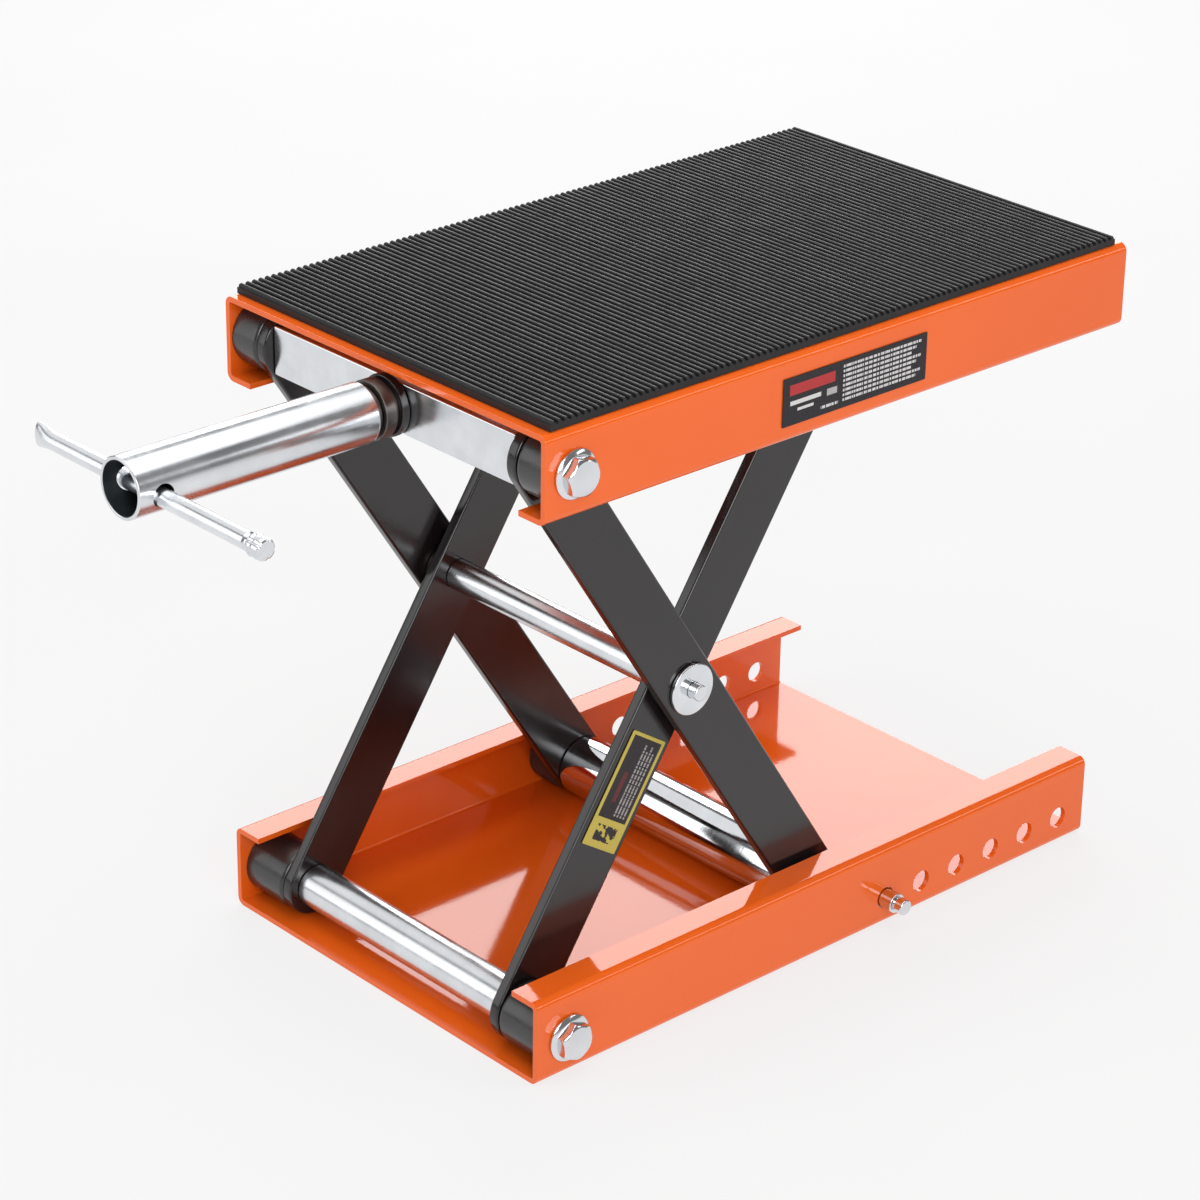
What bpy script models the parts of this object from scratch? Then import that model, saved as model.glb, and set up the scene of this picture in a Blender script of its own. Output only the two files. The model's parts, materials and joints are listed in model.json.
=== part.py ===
"""Screw-driven scissor jack with a ribbed rubber deck, modelled raised.

Metres, +Z up. The origin is the centre of the base's underside. The crank points along -Y,
the scissor's fixed pivots are at that front end, and its rollers run towards +Y.
"""
import math

import bmesh
import bpy

# Folded sheet channels
SHEET = 0.003
BEND_RADIUS = 0.0045
BEND_STEPS = 4
BASE_LENGTH = 0.400
BASE_WIDTH = 0.240
BASE_HEIGHT = 0.046
BASE_LIP = 0.019
DECK_LENGTH = 0.400
DECK_WIDTH = 0.239
DECK_HEIGHT = 0.045
DECK_LIP = 0.0185
DECK_SHIFT = 0.0025
DECK_TOP = 0.3436
MAT_THICKNESS = 0.005
MAT_SIDE_MARGIN = 0.0029
MAT_FRONT_MARGIN = 0.0053
MAT_REAR_MARGIN = 0.0066

# Scissor linkage: pivots at the front, rollers at the rear
PIVOT_Y = -0.1795
LOW_Z = 0.0205
HIGH_Z = 0.3211
ARM_SPAN = 0.3598
ARM_WIDTH = 0.034
ARM_THICKNESS = 0.0065
INNER_ARM_X = 0.0795
OUTER_ARM_X = 0.0905
ARM_EDGE_BREAK = 0.0006
LIFT_ANGLE = math.asin((HIGH_Z - LOW_Z) / ARM_SPAN)
ROLLER_Y = PIVOT_Y + ARM_SPAN * math.cos(LIFT_ANGLE)
CENTRE_Y = (PIVOT_Y + ROLLER_Y) / 2
CENTRE_Z = (LOW_Z + HIGH_Z) / 2

# Facets round a turned piece, and round a hole cut through one
FACETS = 24
HOLE_FACETS = 16

# Gaps: a stack gap between neighbours along an axis, and a running gap round a shaft
GAP = 0.0003
RUNNING_GAP = 0.0004

# Round stock
PIN_RADIUS = 0.006
BORE_RADIUS = PIN_RADIUS + RUNNING_GAP
SLEEVE_RADIUS = 0.017
BASE_TUBE_RADIUS = 0.0116
CENTRE_ROD_RADIUS = 0.0085
CENTRE_STUD_RADIUS = 0.0042
CENTRE_STUD_LENGTH = 0.0058
ROLLER_SHAFT_RADIUS = 0.008
NUT_SHAFT_RADIUS = 0.012
LOWER_TUBE_RADIUS = 0.0168
LOWER_TUBE_WALL = 0.0025
LOWER_BUSH_WIDTH = 0.010
SPACER_RADIUS = 0.014
WASHER_RADIUS = 0.0137
WASHER_THICKNESS = 0.0022
LOWER_ROLLER_RADIUS = 0.0172
UPPER_ROLLER_RADIUS = 0.0192
UPPER_ROLLER_X = 0.0955
UPPER_SPACER_RADIUS = 0.010
ROLLER_END_GAP = 0.0010
EDGE_BREAK = 0.0008

# Pivot bolts
FLANGE_RADIUS = 0.0124
FLANGE_THICKNESS = 0.0024
HEX_ACROSS_FLATS = 0.018
HEX_HEIGHT = 0.0078
BOLT_ENGAGEMENT = 0.020

# Row of lock holes in the base's walls, and the pin in the first of them
LOCK_HOLE_RADIUS = 0.0060
LOCK_HOLE_Y = 0.0444
LOCK_HOLE_PITCH = 0.0271
LOCK_HOLE_COUNT = 6
LOCK_HOLE_Z = 0.0158
LOCK_PIN_RADIUS = 0.0054
LOCK_PIN_SHANK = 0.0085
LOCK_PIN_GROOVE = (0.0031, 0.0014)
LOCK_PIN_TIP_RADIUS = 0.0043
LOCK_PIN_END = 0.0150

# Screw, crank and bearing, all on one axis along Y
CROSSBAR_HEIGHT = 0.026
CROSSBAR_DEPTH = 0.022
SCREW_RADIUS = 0.008
SCREW_BORE = SCREW_RADIUS + RUNNING_GAP
SCREW_REAR_Y = 0.1985
CRANK_RADIUS = 0.0153
CRANK_WALL = 0.002
CRANK_FRONT_Y = -0.348
CRANK_PLUG = 0.020
REAR_WASHER = (0.0157, 0.0045)
THRUST_BEARING = (0.0150, 0.0090)
BEARING_NECK = (0.0128, 0.0022)
FRONT_WASHER = (0.0126, 0.0028)
RETAINING_COLLAR = (0.0130, 0.0100)
END_STOP = (0.0120, 0.0060)

# Tommy bar, which lies on the bottom of holes drilled a little below the crank's axis
TOMMY_RADIUS = 0.0045
TOMMY_HOLE_RADIUS = 0.0058
TOMMY_HOLE_DROP = 0.0022
TOMMY_DROP = TOMMY_HOLE_DROP + TOMMY_HOLE_RADIUS - TOMMY_RADIUS - GAP
TOMMY_LEFT_X = -0.0835
TOMMY_RIGHT_X = 0.0905
TOMMY_Y = -0.3345
TOMMY_FACETS = 16

# Plain name plates
DECK_PLATE_LENGTH = 0.0995
DECK_PLATE_HEIGHT = 0.025
DECK_PLATE_Y = 0.0035
DECK_PLATE_Z = 0.320
ARM_PLATE_LENGTH = 0.0617
ARM_PLATE_WIDTH = 0.0257
ARM_PLATE_ALONG = 0.119
PLATE_THICKNESS = 0.0004

COLOURS = {
    "orange_powder_coat": ((0.80, 0.13, 0.015, 1), 0.0, 0.12),
    "black_powder_coat": ((0.030, 0.026, 0.027, 1), 0.0, 0.38),
    "bright_zinc": ((0.76, 0.77, 0.79, 1), 1.0, 0.22),
    "dark_steel": ((0.16, 0.15, 0.14, 1), 1.0, 0.42),
    "black_rubber": ((0.018, 0.018, 0.019, 1), 0.0, 0.62),
    "black_nylon": ((0.040, 0.040, 0.043, 1), 0.0, 0.45),
    "printed_plate": ((0.020, 0.018, 0.018, 1), 0.0, 0.50),
}


def start_empty():
    """Remove whatever the scene holds."""
    for thing in list(bpy.data.objects):
        bpy.data.objects.remove(thing, do_unlink=True)


def make_materials():
    """One Principled material for each finish."""
    made = {}
    for name, (colour, metallic, roughness) in COLOURS.items():
        material = bpy.data.materials.new(name)
        material.use_nodes = True
        shader = material.node_tree.nodes["Principled BSDF"]
        shader.inputs["Base Color"].default_value = colour
        shader.inputs["Metallic"].default_value = metallic
        shader.inputs["Roughness"].default_value = roughness
        made[name] = material
    return made


def joint_axis(name, location):
    """An empty on a joint's axis, which the pieces that move with the joint are parented to."""
    empty = bpy.data.objects.new(name, None)
    empty.empty_display_size = 0.02
    empty.location = location
    bpy.context.collection.objects.link(empty)
    return empty


def add_object(name, mesh, material, location, rotation=(0, 0, 0), joint=None, smooth=True):
    """Put a mesh in the scene as one named piece, at a world location."""
    if smooth:
        mesh.shade_smooth()
        mesh.set_sharp_from_angle(angle=math.radians(32))
    if not mesh.materials:
        mesh.materials.append(material)
    piece = bpy.data.objects.new(name, mesh)
    bpy.context.collection.objects.link(piece)
    piece.rotation_euler = rotation
    piece.location = location
    if joint:
        piece.parent = joint
        piece.location = [world - axis for world, axis in zip(location, joint.location)]
    return piece


def finished_mesh(name, bm):
    """Turn a bmesh into a mesh with its faces pointing out."""
    bmesh.ops.recalc_face_normals(bm, faces=bm.faces)
    mesh = bpy.data.meshes.new(name)
    bm.to_mesh(mesh)
    bm.free()
    return mesh


def hexagon_distance(angle, apothem):
    """Distance from a hexagon's centre to its outline in a direction."""
    sector = math.pi / 3
    return apothem / math.cos((angle + sector / 2) % sector - sector / 2)


def turned_mesh(name, profile, segments=FACETS):
    """A piece turned about X. The profile lists (x, radius), or (x, across_flats / 2, "hex").

    A profile that starts and ends at radius 0 makes a solid; any other one is closed round a bore.
    """
    bm = bmesh.new()
    rings = []
    for x, radius, *shape in profile:
        if radius == 0:
            rings.append([bm.verts.new((x, 0, 0))])
            continue
        ring = []
        for step in range(segments):
            angle = 2 * math.pi * step / segments
            reach = hexagon_distance(angle, radius) if shape else radius
            ring.append(bm.verts.new((x, reach * math.cos(angle), reach * math.sin(angle))))
        rings.append(ring)
    pairs = list(zip(rings, rings[1:]))
    if len(rings[0]) > 1:
        pairs.append((rings[-1], rings[0]))
    for one, other in pairs:
        for step in range(segments):
            after = (step + 1) % segments
            corners = [one[step % len(one)], one[after % len(one)]]
            corners += [other[after % len(other)], other[step % len(other)]]
            bm.faces.new(list(dict.fromkeys(corners)))
    return finished_mesh(name, bm)


def rod_profile(start, end, radius, edge=EDGE_BREAK):
    """A solid round bar with its end edges broken."""
    return [
        (start, 0), (start, radius - edge), (start + edge, radius),
        (end - edge, radius), (end, radius - edge), (end, 0),
    ]


def ring_profile(start, end, radius, bore, edge=EDGE_BREAK):
    """A round sleeve, washer or roller with its outer edges broken."""
    return [
        (start, bore), (start, radius - edge), (start + edge, radius),
        (end - edge, radius), (end, radius - edge), (end, bore),
    ]


def sided(name, side):
    """A left piece is on -X and a right piece on +X."""
    return f"{name}_{'left' if side < 0 else 'right'}"


def add_pair(name, mesh, material, y, z, joint):
    """The same turned piece on the right side, and turned end for end on the left side."""
    for side in (-1, 1):
        turn = (0, 0, math.pi) if side < 0 else (0, 0, 0)
        add_object(sided(name, side), mesh, material, (0, y, z), turn, joint)


def cylinder_cutter(name, places, axis, radius, start, end, segments=HOLE_FACETS):
    """One cutter of parallel cylinders along X or Y, each through one (y, z) or (x, z) place."""
    bm = bmesh.new()
    for across, height in places:
        rings = []
        for along in (start, end):
            ring = []
            for step in range(segments):
                angle = 2 * math.pi * step / segments
                a = across + radius * math.cos(angle)
                b = height + radius * math.sin(angle)
                ring.append(bm.verts.new((along, a, b) if axis == "X" else (a, along, b)))
            rings.append(ring)
        for step in range(segments):
            after = (step + 1) % segments
            bm.faces.new((rings[0][step], rings[0][after], rings[1][after], rings[1][step]))
        for ring in rings:
            bm.faces.new(ring)
    cutter = bpy.data.objects.new(name, finished_mesh(name, bm))
    bpy.context.collection.objects.link(cutter)
    cutter.hide_render = True
    cutter.display_type = "WIRE"
    return cutter


def cut(piece, cutter):
    """Subtract a cutter, which follows the piece's placing."""
    cutter.parent = piece
    modifier = piece.modifiers.new(cutter.name, "BOOLEAN")
    modifier.operation = "DIFFERENCE"
    modifier.object = cutter


def break_edges(piece, width, angle=40, segments=1):
    """Bevel the sharp edges of a piece."""
    modifier = piece.modifiers.new("edge_break", "BEVEL")
    modifier.width = width
    modifier.segments = segments
    modifier.limit_method = "ANGLE"
    modifier.angle_limit = math.radians(angle)


def box_mesh(name, size):
    """A box about its own centre."""
    bm = bmesh.new()
    bmesh.ops.create_cube(bm, size=1)
    bmesh.ops.scale(bm, vec=size, verts=bm.verts)
    return finished_mesh(name, bm)


def channel_mesh(name, width, height, lip, length):
    """A sheet folded into a channel with lips turned in at the top, its underside at z = 0."""
    half = width / 2
    corner_x = half - BEND_RADIUS
    section = []
    for corner_z, first in ((BEND_RADIUS, -90), (height - BEND_RADIUS, 0)):
        for step in range(BEND_STEPS + 1):
            angle = math.radians(first + 90 * step / BEND_STEPS)
            pair = []
            for radius in (BEND_RADIUS, BEND_RADIUS - SHEET):
                x = corner_x + radius * math.cos(angle)
                pair.append((x, corner_z + radius * math.sin(angle)))
            section.append(pair)
    section.append([(half - lip, height), (half - lip, height - SHEET)])
    mirrored = [[(-x, z) for x, z in pair] for pair in reversed(section)]
    bm = bmesh.new()
    ends = []
    for y in (-length / 2, length / 2):
        ends.append([[bm.verts.new((x, y, z)) for x, z in pair] for pair in mirrored + section])
    front, back = ends
    for here in range(len(front) - 1):
        there = here + 1
        for end in (front, back):
            bm.faces.new((end[here][0], end[there][0], end[there][1], end[here][1]))
        for face in (0, 1):
            bm.faces.new((front[here][face], front[there][face], back[there][face], back[here][face]))
    for tip in (0, -1):
        bm.faces.new((front[tip][0], front[tip][1], back[tip][1], back[tip][0]))
    return finished_mesh(name, bm)


def arm_mesh(name, first, last):
    """A flat bar with round ends, centred on its thickness, with pivots from first to last along Y."""
    end_steps = 8
    outline = []
    for centre, start in ((last, -90), (first, 90)):
        for step in range(end_steps + 1):
            angle = math.radians(start + 180 * step / end_steps)
            y = centre + ARM_WIDTH / 2 * math.cos(angle)
            outline.append((y, ARM_WIDTH / 2 * math.sin(angle)))
    bm = bmesh.new()
    bottom = bm.faces.new([bm.verts.new((-ARM_THICKNESS / 2, y, z)) for y, z in outline])
    raised = bmesh.ops.extrude_face_region(bm, geom=[bottom])["geom"]
    top = [thing for thing in raised if isinstance(thing, bmesh.types.BMVert)]
    bmesh.ops.translate(bm, vec=(ARM_THICKNESS, 0, 0), verts=top)
    return finished_mesh(name, bm)


def add_arm(name, x, first, last, pivot, tilt, material, joint):
    """One arm with its three pivot holes, turned about X from level to its raised angle."""
    arm = add_object(name, arm_mesh(name, first, last), material, (x, *pivot), (tilt, 0, 0), joint)
    places = [(first, 0), ((first + last) / 2, 0), (last, 0)]
    half = ARM_THICKNESS
    cutter = cylinder_cutter(name + "_bores", places, "X", BORE_RADIUS, -half, half)
    cut(arm, cutter)
    break_edges(arm, ARM_EDGE_BREAK)


def add_base(materials):
    """The base channel, with a row of lock holes and a pivot hole in each wall."""
    mesh = channel_mesh("base_channel", BASE_WIDTH, BASE_HEIGHT, BASE_LIP, BASE_LENGTH)
    base = add_object("base_channel", mesh, materials["orange_powder_coat"], (0, 0, 0))
    row = [(LOCK_HOLE_Y + k * LOCK_HOLE_PITCH, LOCK_HOLE_Z) for k in range(LOCK_HOLE_COUNT)]
    half = BASE_WIDTH / 2 + SHEET
    cut(base, cylinder_cutter("lock_holes", row, "X", LOCK_HOLE_RADIUS, -half, half))
    cut(base, cylinder_cutter("base_bores", [(PIVOT_Y, LOW_Z)], "X", BORE_RADIUS, -half, half))


def add_deck(materials, joint):
    """The deck is the same kind of channel upside down, with a rubber mat on it."""
    mesh = channel_mesh("platform_channel", DECK_WIDTH, DECK_HEIGHT, DECK_LIP, DECK_LENGTH)
    place = (0, DECK_SHIFT, DECK_TOP)
    upside_down = (0, math.pi, 0)
    orange = materials["orange_powder_coat"]
    deck = add_object("platform_channel", mesh, orange, place, upside_down, joint)
    half = DECK_WIDTH / 2 + SHEET
    bore = [(PIVOT_Y - DECK_SHIFT, DECK_TOP - HIGH_Z)]
    cut(deck, cylinder_cutter("platform_bores", bore, "X", BORE_RADIUS, -half, half))

    front = DECK_SHIFT - DECK_LENGTH / 2 + MAT_FRONT_MARGIN
    rear = DECK_SHIFT + DECK_LENGTH / 2 - MAT_REAR_MARGIN
    size = (DECK_WIDTH - 2 * MAT_SIDE_MARGIN, rear - front, MAT_THICKNESS)
    centre = (0, (front + rear) / 2, DECK_TOP + GAP + MAT_THICKNESS / 2)
    mat = add_object(
        "rubber_mat", box_mesh("rubber_mat", size), materials["black_rubber"], centre, joint=joint
    )
    break_edges(mat, EDGE_BREAK)


def add_arms(materials, inner_joint, outer_joint):
    """Two inner arms that rise to the rear and two outer arms that rise to the front."""
    black = materials["black_powder_coat"]
    for side in (-1, 1):
        inner_x = side * (INNER_ARM_X + ARM_THICKNESS / 2)
        outer_x = side * (OUTER_ARM_X + ARM_THICKNESS / 2)
        low_pivot = (PIVOT_Y, LOW_Z)
        centre = (CENTRE_Y, CENTRE_Z)
        half = ARM_SPAN / 2
        name = sided("inner_arm", side)
        add_arm(name, inner_x, 0, ARM_SPAN, low_pivot, LIFT_ANGLE, black, inner_joint)
        name = sided("outer_arm", side)
        add_arm(name, outer_x, -half, half, centre, -LIFT_ANGLE, black, outer_joint)


def bolt_mesh(name, wall_face, end):
    """A flanged hexagon bolt along X: its flange on the wall's outer face, its shank inwards."""
    seat = wall_face + GAP
    flange = seat + FLANGE_THICKNESS
    top = seat + HEX_HEIGHT
    flats = HEX_ACROSS_FLATS / 2
    chamfer = 0.0011
    slope = 0.0010
    return turned_mesh(name, [
        (end, 0), (end, PIN_RADIUS - chamfer), (end + chamfer, PIN_RADIUS), (seat, PIN_RADIUS),
        (seat, FLANGE_RADIUS), (flange - slope, FLANGE_RADIUS), (flange, FLANGE_RADIUS - slope),
        (flange, flats, "hex"), (top - chamfer, flats, "hex"), (top, flats - chamfer / 2), (top, 0),
    ])


def add_base_pivot(materials, inner_joint):
    """At the base's front: bolts through the walls, sleeves, and the tube between the inner arms."""
    black = materials["black_powder_coat"]
    zinc = materials["bright_zinc"]
    inner_wall = BASE_WIDTH / 2 - SHEET
    arm_face = INNER_ARM_X + ARM_THICKNESS
    sleeve = ring_profile(arm_face + GAP, inner_wall - GAP, SLEEVE_RADIUS, BORE_RADIUS)
    add_pair("base_sleeve", turned_mesh("base_sleeve", sleeve), black, PIVOT_Y, LOW_Z, None)
    bolt = bolt_mesh("base_pivot_bolt", BASE_WIDTH / 2, INNER_ARM_X - BOLT_ENGAGEMENT)
    add_pair("base_pivot_bolt", bolt, zinc, PIVOT_Y, LOW_Z, None)

    reach = INNER_ARM_X - GAP
    tube = ring_profile(-reach, reach, BASE_TUBE_RADIUS, BORE_RADIUS)
    place = (0, PIVOT_Y, LOW_Z)
    add_object("base_pivot_tube", turned_mesh("base_pivot_tube", tube), zinc, place, joint=inner_joint)


def add_centre_pivot(materials, inner_joint):
    """Where the arms cross: a rod whose ends carry the outer arms and stand out of the washers."""
    zinc = materials["bright_zinc"]
    shoulder = INNER_ARM_X - GAP
    outer_face = OUTER_ARM_X + ARM_THICKNESS
    end = outer_face + GAP + WASHER_THICKNESS
    tip = end + CENTRE_STUD_LENGTH
    stud = CENTRE_STUD_RADIUS
    half = [
        (shoulder, CENTRE_ROD_RADIUS), (shoulder, PIN_RADIUS), (end, PIN_RADIUS), (end, stud),
        (tip - EDGE_BREAK, stud), (tip, stud - EDGE_BREAK), (tip, 0),
    ]
    rod = [(-x, radius) for x, radius in reversed(half)] + half
    place = (0, CENTRE_Y, CENTRE_Z)
    add_object("centre_rod", turned_mesh("centre_rod", rod), zinc, place, joint=inner_joint)
    start = INNER_ARM_X + ARM_THICKNESS + GAP
    spacer = ring_profile(start, OUTER_ARM_X - GAP, SPACER_RADIUS, BORE_RADIUS)
    mesh = turned_mesh("centre_spacer", spacer)
    add_pair("centre_spacer", mesh, materials["dark_steel"], CENTRE_Y, CENTRE_Z, inner_joint)
    start = outer_face + GAP
    washer = ring_profile(start, start + WASHER_THICKNESS, WASHER_RADIUS, BORE_RADIUS, 0.0004)
    mesh = turned_mesh("centre_washer", washer)
    add_pair("centre_washer", mesh, zinc, CENTRE_Y, CENTRE_Z, inner_joint)


def roller_profile(start, end, radius):
    """A roller with rounded rims."""
    rim = 0.002
    return [
        (start, BORE_RADIUS), (start, radius - rim), (start + rim / 3, radius - rim / 3),
        (start + rim, radius), (end - rim, radius), (end - rim / 3, radius - rim / 3),
        (end, radius - rim), (end, BORE_RADIUS),
    ]


def shouldered_shaft(shoulder, end, radius):
    """A shaft with a thinner journal at each end."""
    edge = EDGE_BREAK
    return [
        (-end, 0), (-end, PIN_RADIUS - edge), (-end + edge, PIN_RADIUS), (-shoulder, PIN_RADIUS),
        (-shoulder, radius), (shoulder, radius),
        (shoulder, PIN_RADIUS), (end - edge, PIN_RADIUS), (end, PIN_RADIUS - edge), (end, 0),
    ]


def add_lower_rollers(materials, outer_joint, roller_joints):
    """At the outer arms' lower ends: a shaft in bushes inside a wide tube, and a roller at each end."""
    zinc = materials["bright_zinc"]
    nylon = materials["black_nylon"]
    shoulder = OUTER_ARM_X - GAP
    wall = BASE_WIDTH / 2 - SHEET
    end = wall - ROLLER_END_GAP
    shaft = turned_mesh("lower_shaft", shouldered_shaft(shoulder, end, ROLLER_SHAFT_RADIUS))
    place = (0, ROLLER_Y, LOW_Z)
    add_object("lower_shaft", shaft, zinc, place, joint=outer_joint)
    inside = LOWER_TUBE_RADIUS - LOWER_TUBE_WALL
    tube = turned_mesh("lower_tube", ring_profile(-shoulder, shoulder, LOWER_TUBE_RADIUS, inside))
    add_object("lower_tube", tube, zinc, place, joint=outer_joint)
    bore = ROLLER_SHAFT_RADIUS + GAP
    bush = ring_profile(shoulder - LOWER_BUSH_WIDTH, shoulder, inside - GAP, bore)
    mesh = turned_mesh("lower_tube_bush", bush)
    add_pair("lower_tube_bush", mesh, nylon, ROLLER_Y, LOW_Z, outer_joint)
    start = OUTER_ARM_X + ARM_THICKNESS + 2 * GAP
    profile = roller_profile(start, end, LOWER_ROLLER_RADIUS)
    add_rollers("lower_roller", profile, nylon, LOW_Z, roller_joints)


def add_rollers(name, profile, material, z, joints):
    """A left and a right roller, each on its own turning axis."""
    mesh = turned_mesh(name, profile)
    for side, joint in zip((-1, 1), joints):
        turn = (0, 0, math.pi) if side < 0 else (0, 0, 0)
        add_object(sided(name, side), mesh, material, (0, ROLLER_Y, z), turn, joint)


def add_nut_shaft(materials, nut_joint, roller_joints):
    """The cross shaft that the screw is threaded through, and its rollers inside the deck."""
    shoulder = INNER_ARM_X - GAP
    wall = DECK_WIDTH / 2 - SHEET
    end = wall - ROLLER_END_GAP
    mesh = turned_mesh("nut_shaft", shouldered_shaft(shoulder, end, NUT_SHAFT_RADIUS))
    place = (0, ROLLER_Y, HIGH_Z)
    shaft = add_object("nut_shaft", mesh, materials["dark_steel"], place, joint=nut_joint)
    reach = 2 * NUT_SHAFT_RADIUS
    cut(shaft, cylinder_cutter("nut_thread", [(0, 0)], "Y", SCREW_BORE, -reach, reach))
    start = INNER_ARM_X + ARM_THICKNESS + GAP
    spacer = ring_profile(start, UPPER_ROLLER_X - 2 * GAP, UPPER_SPACER_RADIUS, BORE_RADIUS)
    mesh = turned_mesh("upper_spacer", spacer)
    add_pair("upper_spacer", mesh, materials["dark_steel"], ROLLER_Y, HIGH_Z, nut_joint)
    profile = roller_profile(UPPER_ROLLER_X, end, UPPER_ROLLER_RADIUS)
    add_rollers("upper_roller", profile, materials["black_nylon"], HIGH_Z, roller_joints)


def add_deck_pivot(materials, deck_joint):
    """At the deck's front: bolts through the walls, sleeves, and the crossbar between the arms."""
    zinc = materials["bright_zinc"]
    inner_wall = DECK_WIDTH / 2 - SHEET
    arm_face = OUTER_ARM_X + ARM_THICKNESS
    sleeve = ring_profile(arm_face + GAP, inner_wall - GAP, SLEEVE_RADIUS, BORE_RADIUS)
    mesh = turned_mesh("platform_sleeve", sleeve)
    add_pair("platform_sleeve", mesh, materials["black_powder_coat"], PIVOT_Y, HIGH_Z, deck_joint)
    bolt = bolt_mesh("platform_pivot_bolt", DECK_WIDTH / 2, OUTER_ARM_X - BOLT_ENGAGEMENT)
    add_pair("platform_pivot_bolt", bolt, zinc, PIVOT_Y, HIGH_Z, deck_joint)

    reach = OUTER_ARM_X - GAP
    size = (2 * reach, CROSSBAR_DEPTH, CROSSBAR_HEIGHT)
    mesh = box_mesh("front_crossbar", size)
    bar = add_object("front_crossbar", mesh, zinc, (0, PIVOT_Y, HIGH_Z), joint=deck_joint)
    depth = CROSSBAR_DEPTH
    cut(bar, cylinder_cutter("screw_bore", [(0, 0)], "Y", SCREW_BORE, -depth, depth))
    for side in (-1, 1):
        start = side * (OUTER_ARM_X - BOLT_ENGAGEMENT - EDGE_BREAK)
        end = side * (reach + EDGE_BREAK)
        name = sided("bolt_bore", side)
        cut(bar, cylinder_cutter(name, [(0, 0)], "X", BORE_RADIUS, start, end))
    break_edges(bar, EDGE_BREAK)


def along_screw(name, mesh, material, joint):
    """Place a turned piece on the screw's axis, so that its profile runs along world Y."""
    return add_object(name, mesh, material, (0, 0, HIGH_Z), (0, 0, math.pi / 2), joint)


def add_screw(materials, deck_joint, crank_joint):
    """The screw, its thrust bearing in front of the crossbar and its collars behind it."""
    zinc = materials["bright_zinc"]
    steel = materials["dark_steel"]
    front = PIVOT_Y - CROSSBAR_DEPTH / 2
    stack = (
        ("thrust_washer_rear", REAR_WASHER, deck_joint),
        ("thrust_bearing", THRUST_BEARING, crank_joint),
        ("thrust_washer_front", FRONT_WASHER, crank_joint),
    )
    for name, (radius, width), joint in stack:
        profile = ring_profile(front - GAP - width, front - GAP, radius, SCREW_BORE)
        if name == "thrust_bearing":
            profile = necked(profile)
        along_screw(name, turned_mesh(name, profile), steel, joint)
        front -= GAP + width
    add_crank(zinc, front - GAP, crank_joint)

    rear = PIVOT_Y + CROSSBAR_DEPTH / 2 + GAP
    radius, width = RETAINING_COLLAR
    profile = ring_profile(rear, rear + width, radius, SCREW_BORE)
    mesh = turned_mesh("screw_retaining_collar", profile)
    along_screw("screw_retaining_collar", mesh, steel, crank_joint)
    radius, width = END_STOP
    start = SCREW_REAR_Y - width - 2 * EDGE_BREAK
    profile = ring_profile(start, start + width, radius, SCREW_BORE)
    along_screw("screw_end_stop", turned_mesh("screw_end_stop", profile), steel, crank_joint)
    profile = rod_profile(front - CRANK_PLUG + 2 * GAP, SCREW_REAR_Y, SCREW_RADIUS, 0.0015)
    along_screw("lead_screw", turned_mesh("lead_screw", profile), zinc, crank_joint)


def necked(profile):
    """Turn the rear end of a ring down to a narrower neck."""
    neck, width = BEARING_NECK
    rear, bore = profile[-1]
    radius = max(point[1] for point in profile)
    shoulder = rear - width
    return profile[:3] + [
        (shoulder - EDGE_BREAK, radius), (shoulder, radius - EDGE_BREAK),
        (shoulder, neck), (rear, neck), (rear, bore),
    ]


def add_crank(zinc, rear, joint):
    """The crank tube, welded to the screw by its plugged rear end, with a sliding tommy bar."""
    inside = CRANK_RADIUS - CRANK_WALL
    rim = 0.0006
    profile = [
        (CRANK_FRONT_Y, inside), (CRANK_FRONT_Y, CRANK_RADIUS - rim),
        (CRANK_FRONT_Y + rim, CRANK_RADIUS), (rear - 2 * rim, CRANK_RADIUS),
        (rear, CRANK_RADIUS - 2 * rim), (rear, SCREW_BORE),
        (rear - CRANK_PLUG, SCREW_BORE), (rear - CRANK_PLUG, inside),
    ]
    tube = along_screw("crank_tube", turned_mesh("crank_tube", profile), zinc, joint)
    reach = 2 * CRANK_RADIUS
    place = (TOMMY_Y, -TOMMY_HOLE_DROP)
    cut(tube, cylinder_cutter("tommy_hole", [place], "X", TOMMY_HOLE_RADIUS, -reach, reach))
    tube.modifiers["tommy_hole"].object.rotation_euler = (0, 0, -math.pi / 2)


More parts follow.
